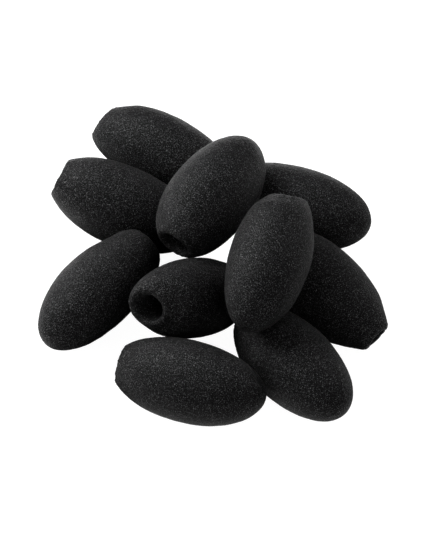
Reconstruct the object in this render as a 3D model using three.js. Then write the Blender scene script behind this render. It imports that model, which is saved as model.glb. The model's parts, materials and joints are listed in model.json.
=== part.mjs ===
// A set of ten foam windscreens for small clip-on microphones, heaped in two loose layers.
//
// Every windscreen is the same piece: one solid egg of open-cell foam, cut flat at its mouth, with a
// blind bore that slips over the microphone. Units are millimetres and +Z is up. The heap stands on
// z = 0, and the origin is below the middle of its bounding box.

import * as THREE from 'three';

// One windscreen. Its axis runs along +Y and leaves through the mouth.
const LENGTH = 46;
const DIAMETER = 25;
const MOUTH_DIAMETER = 11.5;
const BORE_DIAMETER = 8;
const BORE_DEPTH = 34;
const WIDEST_FROM_MOUTH = 21.6;

// Facets of the revolved body.
const TURN_STEPS = 24;
const BODY_STEPS = 5;
const BORE_STEPS = 2;
const BORE_END_STEPS = 3;

const FOAM_COLOUR = 0x0d0d0e;
const FOAM_ROUGHNESS = 1;

// Where each windscreen lies. x and y place the middle of its widest section. heading is the compass
// direction of its mouth, in degrees from +X towards +Y, and tilt is how far the mouth points up.
// A windscreen with a height lies on others, with its widest section's middle at that height.
// The rest lie on the floor.
const PLACES = [
  { name: 'back_left', x: -16, y: 51, heading: 152, tilt: 8 },
  { name: 'left', x: -28, y: 28, heading: 164, tilt: 16 },
  { name: 'top_centre', x: 0, y: 18, heading: -122, tilt: 0, height: 29.5 },
  { name: 'front_left', x: -34.5, y: -5.5, heading: 47, tilt: 6 },
  { name: 'centre', x: -6, y: -12, heading: -139, tilt: 33 },
  { name: 'top_right', x: 17, y: -12.5, heading: 74, tilt: 12, height: 36 },
  { name: 'back_right', x: 27.5, y: 29, heading: 157, tilt: -2 },
  { name: 'right', x: 35, y: -4, heading: -48, tilt: -10 },
  { name: 'front', x: -7, y: -41, heading: 156, tilt: -9 },
  { name: 'front_right', x: 24.5, y: -33, heading: 127, tilt: -5 },
];

const MOUTH_AXIS = new THREE.Vector3(0, 1, 0);

// Points of a quarter ellipse, from its tip on the axis out to its widest point. The tip is at tipY
// on the axis, and the widest point is radius away from it at y = 0.
function tipToWidest(tipY, radius, steps) {
  const points = [];
  for (let step = 0; step < steps; step += 1) {
    const angle = (Math.PI / 2) * (step / steps);
    points.push(new THREE.Vector2(radius * Math.sin(angle), tipY * Math.cos(angle)));
  }
  return points;
}

// Points of the same kind of ellipse from its widest point to where the mouth cuts it flat.
function widestToMouth(radius, mouthRadius, mouthY, steps) {
  const mouthAngle = Math.asin(mouthRadius / radius);
  const tipY = mouthY / Math.cos(mouthAngle);
  const points = [];
  for (let step = 0; step <= steps; step += 1) {
    const angle = Math.PI / 2 + (mouthAngle - Math.PI / 2) * (step / steps);
    points.push(new THREE.Vector2(radius * Math.sin(angle), tipY * Math.cos(angle)));
  }
  return points;
}

// Points of the bore from the mouth in to its round end on the axis.
function boreInwards(radius, mouthY, depth) {
  const points = [];
  const roundY = mouthY - depth + radius;
  for (let step = 0; step <= BORE_STEPS; step += 1) {
    points.push(new THREE.Vector2(radius, mouthY + (roundY - mouthY) * (step / BORE_STEPS)));
  }
  for (let step = 1; step <= BORE_END_STEPS; step += 1) {
    const angle = (Math.PI / 2) * (step / BORE_END_STEPS);
    const across = step === BORE_END_STEPS ? 0 : radius * Math.cos(angle);
    points.push(new THREE.Vector2(across, roundY - radius * Math.sin(angle)));
  }
  return points;
}

// The closed outline: closed end, widest section, mouth rim, then back in along the bore.
function windscreenGeometry() {
  const closedEnd = WIDEST_FROM_MOUTH - LENGTH;
  const outline = [
    ...tipToWidest(closedEnd, DIAMETER / 2, BODY_STEPS),
    ...widestToMouth(DIAMETER / 2, MOUTH_DIAMETER / 2, WIDEST_FROM_MOUTH, BODY_STEPS),
    ...boreInwards(BORE_DIAMETER / 2, WIDEST_FROM_MOUTH, BORE_DEPTH),
  ];
  return new THREE.LatheGeometry(outline, TURN_STEPS);
}

function foamMaterial() {
  return new THREE.MeshStandardMaterial({
    color: FOAM_COLOUR,
    roughness: FOAM_ROUGHNESS,
    metalness: 0,
  });
}

function mouthDirection(heading, tilt) {
  const turn = THREE.MathUtils.degToRad(heading);
  const rise = THREE.MathUtils.degToRad(tilt);
  return new THREE.Vector3(
    Math.cos(rise) * Math.cos(turn),
    Math.cos(rise) * Math.sin(turn),
    Math.sin(rise),
  );
}

// Lowers or raises a mesh until its lowest vertex is on the floor.
function restOnFloor(mesh) {
  const box = new THREE.Box3().setFromObject(mesh, true);
  mesh.position.z -= box.min.z;
}

function windscreen(geometry, place) {
  const mesh = new THREE.Mesh(geometry, foamMaterial());
  mesh.name = `windscreen_${place.name}`;
  mesh.quaternion.setFromUnitVectors(MOUTH_AXIS, mouthDirection(place.heading, place.tilt));
  mesh.position.set(place.x, place.y, place.height ?? 0);
  if (place.height === undefined) {
    restOnFloor(mesh);
  }
  return mesh;
}

// Moves the heap sideways until its bounding box is centred on the origin.
function centreOverOrigin(group) {
  const middle = new THREE.Box3().setFromObject(group, true).getCenter(new THREE.Vector3());
  group.position.set(-middle.x, -middle.y, 0);
}

const heap = new THREE.Group();
const geometry = windscreenGeometry();
for (const place of PLACES) {
  heap.add(windscreen(geometry, place));
}
centreOverOrigin(heap);
heap.updateMatrixWorld(true);

export default heap;
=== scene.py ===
"""Ten black foam windscreens for small microphones, heaped in two loose layers on a white table.

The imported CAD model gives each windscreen's place, and each is drawn here as one skin of open-cell
foam: an egg with a slightly ragged mouth and a blind bore. A windscreen's sizes are in millimetres.
The scene is in metres, and so are the sizes and distances of its lights, table and camera.
"""

import json
import math

import bpy
import numpy as np
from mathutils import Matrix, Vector


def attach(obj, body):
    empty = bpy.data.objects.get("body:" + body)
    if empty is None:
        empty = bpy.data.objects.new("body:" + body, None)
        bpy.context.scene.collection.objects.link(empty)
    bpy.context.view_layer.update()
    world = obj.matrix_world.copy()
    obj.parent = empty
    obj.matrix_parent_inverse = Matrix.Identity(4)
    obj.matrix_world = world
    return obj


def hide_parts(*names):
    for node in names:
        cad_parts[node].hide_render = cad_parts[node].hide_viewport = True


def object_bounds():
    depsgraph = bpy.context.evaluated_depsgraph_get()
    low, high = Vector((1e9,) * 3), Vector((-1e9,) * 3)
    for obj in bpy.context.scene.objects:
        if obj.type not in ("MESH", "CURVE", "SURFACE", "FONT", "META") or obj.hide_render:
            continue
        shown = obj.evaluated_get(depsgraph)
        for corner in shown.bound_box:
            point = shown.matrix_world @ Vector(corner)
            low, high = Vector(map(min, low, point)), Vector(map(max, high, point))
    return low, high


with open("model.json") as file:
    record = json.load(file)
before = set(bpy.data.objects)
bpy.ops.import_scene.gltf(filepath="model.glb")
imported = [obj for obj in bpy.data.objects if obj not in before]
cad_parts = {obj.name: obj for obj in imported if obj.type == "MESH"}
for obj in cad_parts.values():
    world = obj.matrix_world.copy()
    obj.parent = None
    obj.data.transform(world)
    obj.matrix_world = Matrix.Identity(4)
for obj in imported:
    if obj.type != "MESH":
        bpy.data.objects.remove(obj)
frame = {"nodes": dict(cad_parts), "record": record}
cad_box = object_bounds()

MM = 0.001

# One windscreen, as in the CAD model.
LENGTH = 46
DIAMETER = 25
MOUTH_DIAMETER = 11.5
BORE_DIAMETER = 8
BORE_DEPTH = 34
WIDEST_FROM_MOUTH = 21.6

# The skin's mesh: columns round the axis and rows along it. The bore's rows are fine down to
# FINE_BORE_DEPTH, which can be seen, and coarse further in. The steps are those of each curve before
# its points are spaced evenly.
COLUMNS = 320
ROW_SPACING = 0.24
BORE_ROW_SPACING = 1.0
FINE_BORE_DEPTH = 8
CURVE_STEPS = 400
BORE_END_STEPS = 12

# The lip between the mouth's flat face and the bore: its width, how deep it flares, and how many
# times it is smoothed.
LIP_WIDTH = 0.9
FLARE_DEPTH = 0.9
LIP_SMOOTHING = 16

# How far down from the mouth a windscreen's own mouth width, cut, slant and shift reach.
MOUTH_REACH = 9

# The foam's surface. A pore is deepest within PORE_FLOOR of its cell's centre and ends at PORE_EDGE,
# both in cells. The rim's tears start TEAR_START below the mouth and are full from TEAR_FULL below it.
CELL = 0.5
PORE_DEPTH = 0.1
PORE_FLOOR = 0.25
PORE_EDGE = 0.75
LUMP_SIZE = 9
LUMP_HEIGHT = 0.2
DENT_SIZE = 2.6
DENT_DEPTH = 0.06
TEAR_SIZE = 1.0
TEAR_START = 1.6
TEAR_FULL = 0.3
STRUT_SPACING = 0.14
BUMP_HEIGHT = 0.1

# How near to the mouth's plane a corner of the CAD solid lies when it is on the mouth.
RIM_TOLERANCE = 0.01

# The lowest that any point of a skin lies above the table.
FLOOR_CLEARANCE = 0.02

# What scrambles a lattice point's whole numbers and a seed into a random number.
AXIS_FACTORS = (73856093, 19349663, 83492791)
SEED_FACTOR = 40503
SEED_START = 977
FIRST_MIX = 2246822519
SECOND_MIX = 3266489917
RANDOM_TOP = 0xFFFF

# Keeps every lattice number above zero.
LATTICE_START = 1000

# How far apart the windscreens lie in the random fields, so that no two are alike.
FIELD_STEP = 100

# A strut's colour lies between dark and light, and GLINT_POWER keeps most struts dark. The last value
# is painted shade: the share of its light tone that a strut's colour keeps down in a pore.
DARK_STRUT = (0.001, 0.001, 0.0011, 1)
LIGHT_STRUT = (0.15, 0.15, 0.152, 1)
GLINT_POWER = 12
PAINTED_PORE_SHADE = 0.35

# How bright the bare table and the backdrop look, where 1 is pure white.
WHITE_LEVEL = 0.97

# The table reaches this far to each side, in metres.
TABLE_REACH = 6

# The camera looks down at this angle in degrees. It aims this far off the middle of the CAD model's
# box, from this distance, and sees no further than its reach, all in metres. The lens is in
# millimetres.
CAMERA_ANGLE = 50
CAMERA_AIM = (0.003, -0.0072, -0.0077)
CAMERA_DISTANCE = 0.8
CAMERA_REACH = 20
CAMERA_LENS = 173

# How each windscreen differs from the plain shape. girth and length scale it. nose, middle and tail
# are how far its mouth, widest section and closed end sit off the straight axis: to the right of the
# mouth's heading, and up. mouth scales the mouth end's width, cut is how much shorter that end is,
# slant is how many degrees the mouth turns aside, shift is how far the bore's opening sits off the
# mouth's middle, and tear is how ragged the rim is. slant_turn and shift_turn are directions round the
# axis in degrees: 0 is to the right of the mouth's heading, and 90 is upward.
PLAIN = dict(
    girth=1.0, length=1.0, nose=(0.0, 0.0), middle=(0.0, 0.0), tail=(0.0, 0.0),
    mouth=1.0, cut=0, slant=0, slant_turn=0, shift=0, shift_turn=0, tear=0.2,
)
SHAPES = {
    "windscreen_back_left": dict(
        girth=0.98, length=1.02, nose=(0.5, 0.5), middle=(0.5, 0.0), tail=(1.0, 0.5),
        slant=10, slant_turn=35,
    ),
    "windscreen_left": dict(
        girth=1.01, length=1.03, nose=(1.0, 0.5), tail=(0.5, 0.0),
        cut=0.3, slant=5, slant_turn=40, tear=0.1,
    ),
    "windscreen_top_centre": dict(
        girth=1.05, length=1.02, nose=(0.0, -1.5), tail=(1.0, 0.0),
        slant=13, slant_turn=285, shift=0.6, shift_turn=135,
    ),
    "windscreen_front_left": dict(
        girth=0.95, nose=(-0.5, 0.5), middle=(-0.5, -0.5), tail=(1.5, 0.5), mouth=1.08, cut=-0.2,
    ),
    "windscreen_centre": dict(
        girth=0.97, nose=(-0.5, 0.0), middle=(-0.5, 0.5), tail=(0.5, 0.5),
        cut=1.2, slant=22, slant_turn=190, shift=1.2, shift_turn=270,
    ),
    "windscreen_top_right": dict(
        girth=0.97, middle=(0.5, 0.0), slant=20, slant_turn=110,
    ),
    "windscreen_back_right": dict(
        girth=1.01, length=0.98, nose=(1.5, 0.0), middle=(-0.5, 0.0), tail=(0.0, 0.5),
    ),
    "windscreen_right": dict(
        girth=1.02, middle=(1.0, -0.5), tail=(0.5, -0.5),
        mouth=0.84, cut=-1.7, slant=11, slant_turn=240,
    ),
    "windscreen_front": dict(
        girth=0.99, length=1.02, nose=(0.5, 0.0), middle=(0.0, 0.5), tail=(1.0, 0.0),
        cut=-0.5, slant=12, slant_turn=130,
    ),
    "windscreen_front_right": dict(girth=0.99, length=1.02, middle=(-0.5, 0.0), tail=(-0.5, 0.0)),
}


# ---------------------------------------------------------------- random fields

def lattice_random(cells, seed):
    """A steady random number from 0 to 1 for each whole-number lattice point."""
    keys = cells.astype(np.uint64) * np.array(AXIS_FACTORS, np.uint64)
    mixed = keys[..., 0] ^ keys[..., 1] ^ keys[..., 2] ^ np.uint64(seed * SEED_FACTOR + SEED_START)
    mixed = (mixed ^ (mixed >> np.uint64(15))) * np.uint64(FIRST_MIX)
    mixed = (mixed ^ (mixed >> np.uint64(13))) * np.uint64(SECOND_MIX)
    return ((mixed >> np.uint64(16)) & np.uint64(RANDOM_TOP)) / RANDOM_TOP


def eased(share):
    """A share from 0 to 1 that leaves 0 and reaches 1 gently."""
    return share * share * (3 - 2 * share)


def ramp(value, low, high):
    """Eases from 0 at low to 1 at high."""
    return eased(np.clip((value - low) / (high - low), 0, 1))


def smooth_noise(points, size, seed):
    """Smooth noise from -1 to 1 whose bumps are about size apart."""
    scaled = points / size + LATTICE_START
    base = np.floor(scaled)
    ease = eased(scaled - base)
    total = np.zeros(len(points))
    for corner in np.ndindex(2, 2, 2):
        weight = np.prod(np.where(corner, ease, 1 - ease), axis=1)
        total += weight * lattice_random(base + corner, seed)
    return total * 2 - 1


def foam_cells(points, size, seed):
    """The distance from each point to the nearest foam cell's centre, in cells."""
    scaled = points / size + LATTICE_START
    base = np.floor(scaled)
    nearest = np.full(len(points), np.inf)
    for step in np.ndindex(3, 3, 3):
        cell = base + step - 1
        jitter = np.stack([lattice_random(cell, seed + axis) for axis in range(3)], axis=1)
        nearest = np.minimum(nearest, np.linalg.norm(cell + jitter - scaled, axis=1))
    return nearest


# ---------------------------------------------------------------- the windscreen's skin

def evenly(points, spacing):
    """Points about spacing apart along the line through points."""
    steps = np.linalg.norm(np.diff(points, axis=0), axis=1)
    along = np.concatenate([[0], np.cumsum(steps)])
    count = max(2, int(round(along[-1] / spacing)) + 1)
    at = np.linspace(0, along[-1], count)
    return np.stack([np.interp(at, along, points[:, axis]) for axis in range(2)], axis=1)


def body_outline():
    """(height, radius) from the closed tip to the mouth rim; height 0 is the widest section."""
    radius = DIAMETER / 2
    closed_tip = WIDEST_FROM_MOUTH - LENGTH
    mouth_angle = math.asin(MOUTH_DIAMETER / 2 / radius)
    open_tip = WIDEST_FROM_MOUTH / math.cos(mouth_angle)
    angles = np.linspace(0, math.pi - mouth_angle, CURVE_STEPS)
    tips = np.where(angles < math.pi / 2, closed_tip, -open_tip)
    return np.stack([tips * np.cos(angles), radius * np.sin(angles)], axis=1)


def bore_outline():
    """(height, radius) over the lip and into the bore in fine rows, and on to its round end."""
    radius = BORE_DIAMETER / 2
    round_height = WIDEST_FROM_MOUTH - BORE_DEPTH + radius
    fine_end = WIDEST_FROM_MOUTH - FINE_BORE_DEPTH
    lip = np.array([
        (WIDEST_FROM_MOUTH, MOUTH_DIAMETER / 2),
        (WIDEST_FROM_MOUTH, MOUTH_DIAMETER / 2 - LIP_WIDTH),
        (WIDEST_FROM_MOUTH - FLARE_DEPTH, radius),
        (fine_end, radius),
    ])
    angles = np.linspace(0, math.pi / 2, BORE_END_STEPS)
    round_end = np.stack([round_height - radius * np.sin(angles), radius * np.cos(angles)], axis=1)
    deep = np.concatenate([[(fine_end, radius)], round_end])
    return evenly(lip, ROW_SPACING), evenly(deep, BORE_ROW_SPACING)


def skin_outline():
    """The whole outline. Smoothing it rounds the lip, as foam is round where it is cut."""
    body = evenly(body_outline(), ROW_SPACING)
    lip, deep = bore_outline()
    line = np.concatenate([body, lip[1:], deep[1:]])
    last = len(body) + len(lip) - 2
    for _ in range(LIP_SMOOTHING):
        line[1:last] = (line[:last - 1] + 2 * line[1:last] + line[2:last + 1]) / 4
    line[0, 1] = 0
    line[-1, 1] = 0
    return line


def lie_of(node):
    """The middle of a windscreen's widest section, and its axes: across, up and out of its mouth."""
    mouth = node.replace("windscreen_", "mouth_")
    out = next(mount["axis"] for mount in frame["record"]["mounts"] if mount["name"] == mouth)
    out = np.array(out) / np.linalg.norm(out)
    side = np.cross(out, (0, 0, 1))
    side /= np.linalg.norm(side)
    axes = np.stack([side, np.cross(side, out), out])
    corners = np.array([vertex.co for vertex in frame["nodes"][node].data.vertices])
    places = corners @ axes.T
    rim = places[places[:, 2] > places[:, 2].max() - RIM_TOLERANCE * MM]
    middle = (rim.min(axis=0) + rim.max(axis=0)) / 2
    middle[2] -= WIDEST_FROM_MOUTH * MM
    return middle @ axes, axes


def direction(turn):
    """The unit vector across the axis at turn degrees round it."""
    return np.array([math.cos(math.radians(turn)), math.sin(math.radians(turn))])


def lean(height, shape):
    """How far the axis is pushed across at each height, by a bend through the nose, middle and tail."""
    toward_nose = np.clip(height / WIDEST_FROM_MOUTH, 0, 1) ** 2
    toward_tail = np.clip(height / (WIDEST_FROM_MOUTH - LENGTH), 0, 1) ** 2
    ends = toward_nose * np.array(shape["nose"]) + toward_tail * np.array(shape["tail"])
    return ends + (1 - toward_nose - toward_tail) * np.array(shape["middle"])


def plain_skin(line):
    """The plain skin's points and outward normals, row by row, with its two tips last."""
    turns = np.linspace(0, 2 * math.pi, COLUMNS, endpoint=False)
    ring = np.stack([np.cos(turns), np.sin(turns)], axis=1)
    spokes = np.tile(ring, (len(line) - 2, 1))
    height, radius = np.repeat(line[1:-1], COLUMNS, axis=0).T
    points = np.column_stack([spokes * radius[:, None], height])
    tips = [(0, 0, line[0, 0]), (0, 0, line[-1, 0])]

    slope = np.gradient(line, axis=0)
    slope /= np.linalg.norm(slope, axis=1, keepdims=True)
    facing = np.repeat(slope[1:-1], COLUMNS, axis=0)
    normals = np.column_stack([spokes * facing[:, :1], -facing[:, 1]])
    tip_normals = [(0, 0, -1), (0, 0, 1)]
    return np.concatenate([points, tips]), np.concatenate([normals, tip_normals])


def formed(points, shape):
    """The plain points, moved as this windscreen's form differs."""
    points = points * (shape["girth"], shape["girth"], shape["length"])
    points[:, :2] += lean(points[:, 2:], shape)
    near_mouth = ramp(points[:, 2], WIDEST_FROM_MOUTH - MOUTH_REACH, WIDEST_FROM_MOUTH)
    near_bore = 1 - ramp(np.linalg.norm(points[:, :2], axis=1), BORE_DIAMETER / 2, MOUTH_DIAMETER)
    points[:, :2] *= 1 + (shape["mouth"] - 1) * near_mouth[:, None]
    askew = points[:, :2] @ direction(shape["slant_turn"]) * math.tan(math.radians(shape["slant"]))
    points[:, 2] -= (askew + shape["cut"]) * near_mouth
    shift = shape["shift"] * near_mouth * near_bore
    points[:, :2] += direction(shape["shift_turn"]) * shift[:, None]
    return points


def skin_points(line, shape, seed, middle, axes):
    """The skin's points in metres, and how deep in a pore each one is, from 0 to 1."""
    plain, normals = plain_skin(line)
    points = formed(plain, shape)
    place = points + FIELD_STEP * seed
    lumps = smooth_noise(place, LUMP_SIZE, seed) * LUMP_HEIGHT
    dents = smooth_noise(place, DENT_SIZE, seed + 1) * DENT_DEPTH
    hollow = 1 - ramp(foam_cells(place, CELL, seed), PORE_FLOOR, PORE_EDGE)
    on_rim = ramp(plain[:, 2], WIDEST_FROM_MOUTH - TEAR_START, WIDEST_FROM_MOUTH - TEAR_FULL)
    tears = smooth_noise(place, TEAR_SIZE, seed + 2) * on_rim * shape["tear"]
    points += normals * (lumps + dents + tears - hollow * PORE_DEPTH)[:, None]

    placed = middle + points * MM @ axes
    placed[:, 2] = np.maximum(placed[:, 2], FLOOR_CLEARANCE * MM)
    return placed, hollow


def skin_mesh(name, points, hollow, rows):
    """A closed mesh of rows of quads round the axis, with a fan at each tip.

    The axes across, up and out of the mouth are left-handed, so each face is wound clockwise in them.
    """
    here = np.arange((rows - 1) * COLUMNS).reshape(rows - 1, COLUMNS)
    beside = np.roll(here, -1, axis=1)
    quads = np.stack([here, here + COLUMNS, beside + COLUMNS, beside], axis=-1).reshape(-1, 4)
    first = np.arange(COLUMNS)
    last = first + (rows - 1) * COLUMNS
    closed_tip = rows * COLUMNS
    bore_tip = closed_tip + 1
    start_fan = np.stack([np.full(COLUMNS, closed_tip), first, np.roll(first, -1)], axis=-1)
    end_fan = np.stack([np.full(COLUMNS, bore_tip), np.roll(last, -1), last], axis=-1)
    corners = np.concatenate([quads.ravel(), start_fan.ravel(), end_fan.ravel()])
    sizes = np.concatenate([np.full(len(quads), 4), np.full(2 * COLUMNS, 3)])
    mesh = bpy.data.meshes.new(name)
    mesh.vertices.add(len(points))
    mesh.vertices.foreach_set("co", points.astype(np.float32).ravel())
    mesh.loops.add(len(corners))
    mesh.loops.foreach_set("vertex_index", corners.astype(np.int32))
    mesh.polygons.add(len(sizes))
    mesh.polygons.foreach_set("loop_start", (np.cumsum(sizes) - sizes).astype(np.int32))
    mesh.polygons.foreach_set("use_smooth", np.ones(len(sizes), bool))
    mesh.update(calc_edges=True)
    mesh.validate()
    # How deep in a pore each point lies is also the mask for the painted shade in the foam's colour.
    pore = mesh.attributes.new("pore", "FLOAT", "POINT")
    pore.data.foreach_set("value", hollow.astype(np.float32))
    return mesh


# ---------------------------------------------------------------- materials

def foam_material():
    """Black open-cell foam: matt struts that catch the light here and there, round pores, and painted
    shade that darkens the struts' colour down in the pores.
    """
    material = bpy.data.materials.new("foam")
    material.use_nodes = True
    tree = material.node_tree
    nodes, links = tree.nodes, tree.links
    shader = nodes["Principled BSDF"]
    shader.inputs["Roughness"].default_value = 0.6
    shader.inputs["Specular IOR Level"].default_value = 0.07
    shader.inputs["Sheen Weight"].default_value = 0.01
    shader.inputs["Sheen Roughness"].default_value = 0.4

    place = nodes.new("ShaderNodeTexCoord")

    # Each strut end has its own tone, mostly dark and now and then light.
    struts = nodes.new("ShaderNodeTexVoronoi")
    struts.feature = "F1"
    struts.inputs["Scale"].default_value = 1 / (STRUT_SPACING * MM)
    links.new(place.outputs["Object"], struts.inputs["Vector"])

    strut_tone = nodes.new("ShaderNodeSeparateColor")
    links.new(struts.outputs["Color"], strut_tone.inputs["Color"])

    glint = nodes.new("ShaderNodeMath")
    glint.operation = "POWER"
    glint.inputs[1].default_value = GLINT_POWER
    links.new(strut_tone.outputs["Red"], glint.inputs[0])

    # Painted shade: the colour of struts down in the pores is darkened.
    pore = nodes.new("ShaderNodeAttribute")
    pore.attribute_name = "pore"

    painted_pore_shade = nodes.new("ShaderNodeMapRange")
    painted_pore_shade.inputs["To Min"].default_value = 1
    painted_pore_shade.inputs["To Max"].default_value = PAINTED_PORE_SHADE
    links.new(pore.outputs["Fac"], painted_pore_shade.inputs["Value"])

    tone = nodes.new("ShaderNodeMath")
    tone.operation = "MULTIPLY"
    links.new(glint.outputs["Value"], tone.inputs[0])
    links.new(painted_pore_shade.outputs["Result"], tone.inputs[1])

    colour = nodes.new("ShaderNodeMix")
    colour.data_type = "RGBA"
    colour.inputs["A"].default_value = DARK_STRUT
    colour.inputs["B"].default_value = LIGHT_STRUT
    links.new(tone.outputs["Value"], colour.inputs["Factor"])
    links.new(colour.outputs["Result"], shader.inputs["Base Color"])

    bump = nodes.new("ShaderNodeBump")
    bump.inputs["Strength"].default_value = 0.35
    bump.inputs["Distance"].default_value = BUMP_HEIGHT * MM
    links.new(struts.outputs["Distance"], bump.inputs["Height"])
    links.new(bump.outputs["Normal"], shader.inputs["Normal"])
    return material


def table_material():
    """A table that glows almost white by itself, so that hardly a shadow shows on it."""
    material = bpy.data.materials.new("table")
    material.use_nodes = True
    shader = material.node_tree.nodes["Principled BSDF"]
    shader.inputs["Base Color"].default_value = (0.2, 0.2, 0.2, 1)
    shader.inputs["Roughness"].default_value = 0.9
    shader.inputs["Specular IOR Level"].default_value = 0
    shader.inputs["Emission Color"].default_value = (1, 1, 1, 1)
    shader.inputs["Emission Strength"].default_value = WHITE_LEVEL
    return material


# ---------------------------------------------------------------- stage, light and camera

def make_table():
    """The white table. It lights nothing: the lights that lie on it light the foam from below."""
    mesh = bpy.data.meshes.new("table")
    sides = [(-1, -1, 0), (1, -1, 0), (1, 1, 0), (-1, 1, 0)]
    corners = [Vector(side) * TABLE_REACH for side in sides]
    mesh.from_pydata(corners, [], [(0, 1, 2, 3)])
    mesh.materials.append(table_material())
    table = bpy.data.objects.new("table", mesh)
    bpy.context.scene.collection.objects.link(table)
    table.visible_diffuse = False
    table.visible_glossy = False


def square_light(name, size, strength):
    """A square light, not yet placed."""
    light = bpy.data.lights.new(name, "AREA")
    light.size = size
    light.energy = strength
    lamp = bpy.data.objects.new(name, light)
    bpy.context.scene.collection.objects.link(lamp)
    return lamp


def soft_box(name, azimuth, elevation, distance, size, strength):
    """A square light facing the heap. Azimuth is measured from +X towards +Y."""
    turn, rise = math.radians(azimuth), math.radians(elevation)
    away = Vector((math.cos(turn) * math.cos(rise), math.sin(turn) * math.cos(rise), math.sin(rise)))
    lamp = square_light(name, size, strength)
    lamp.location = away * distance
    lamp.rotation_euler = away.to_track_quat("Z", "Y").to_euler()


def bounce_light(name, x, y, size, strength):
    """A square of light a millimetre above the table, shining up as a lit table top does."""
    lamp = square_light(name, size, strength)
    lamp.location = (x, y, MM)
    lamp.rotation_euler = (math.pi, 0, 0)
    lamp.visible_camera = False


def make_lights():
    """A key light from the left and behind, weaker ones all round, and four lights on the table."""
    soft_box("key", azimuth=148, elevation=41, distance=0.45, size=0.35, strength=4.2)
    soft_box("top", azimuth=0, elevation=60, distance=0.4, size=0.3, strength=0.45)
    soft_box("back", azimuth=100, elevation=50, distance=0.3, size=0.2, strength=0.15)
    soft_box("left", azimuth=225, elevation=30, distance=0.45, size=0.3, strength=0.5)
    soft_box("right", azimuth=30, elevation=10, distance=0.8, size=0.4, strength=2.2)
    soft_box("front", azimuth=300, elevation=30, distance=0.8, size=0.4, strength=1.0)
    bounce_light("bounce_left", x=-0.15, y=0.02, size=0.2, strength=0.35)
    bounce_light("bounce_back", x=-0.02, y=0.17, size=0.2, strength=0.6)
    bounce_light("bounce_right", x=0.15, y=0.02, size=0.2, strength=0.13)
    bounce_light("bounce_front", x=-0.03, y=-0.15, size=0.2, strength=0.15)


def make_world():
    """A backdrop as white as the table, for low views. It lights nothing."""
    world = bpy.data.worlds.new("studio")
    bpy.context.scene.world = world
    world.use_nodes = True
    background = world.node_tree.nodes["Background"]
    background.inputs["Color"].default_value = (1, 1, 1, 1)
    background.inputs["Strength"].default_value = WHITE_LEVEL
    world.cycles_visibility.diffuse = False
    world.cycles_visibility.glossy = False


def make_camera():
    """A long lens in front of the heap, looking down at it."""
    low, high = cad_box
    target = (low + high) / 2 + Vector(CAMERA_AIM)
    rise = math.radians(CAMERA_ANGLE)
    back = Vector((0, -math.cos(rise), math.sin(rise)))
    camera = bpy.data.cameras.new("camera")
    camera.lens = CAMERA_LENS
    camera.clip_end = CAMERA_REACH
    eye = bpy.data.objects.new("camera", camera)
    eye.location = target + back * CAMERA_DISTANCE
    eye.rotation_euler = back.to_track_quat("Z", "Y").to_euler()
    bpy.context.scene.collection.objects.link(eye)
    bpy.context.scene.camera = eye


# ---------------------------------------------------------------- the heap

def make_windscreens():
    """The ten skins. Each rides on its body and stands in for its CAD solid."""
    foam = foam_material()
    line = skin_outline()
    bodies = {
        node: body
        for body, nodes in frame["record"]["behaviour"]["bodies"].items()
        for node in nodes
    }
    for seed, (node, changes) in enumerate(SHAPES.items()):
        middle, axes = lie_of(node)
        points, hollow = skin_points(line, PLAIN | changes, seed, middle, axes)
        name = node.replace("windscreen", "foam")
        mesh = skin_mesh(name, points, hollow, len(line) - 2)
        mesh.materials.append(foam)
        piece = bpy.data.objects.new(name, mesh)
        bpy.context.scene.collection.objects.link(piece)
        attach(piece, bodies[node])
        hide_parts(node)


make_camera()
make_windscreens()
make_table()
make_world()
make_lights()
bpy.context.scene.view_settings.view_transform = "Standard"

bpy.context.view_layer.update()
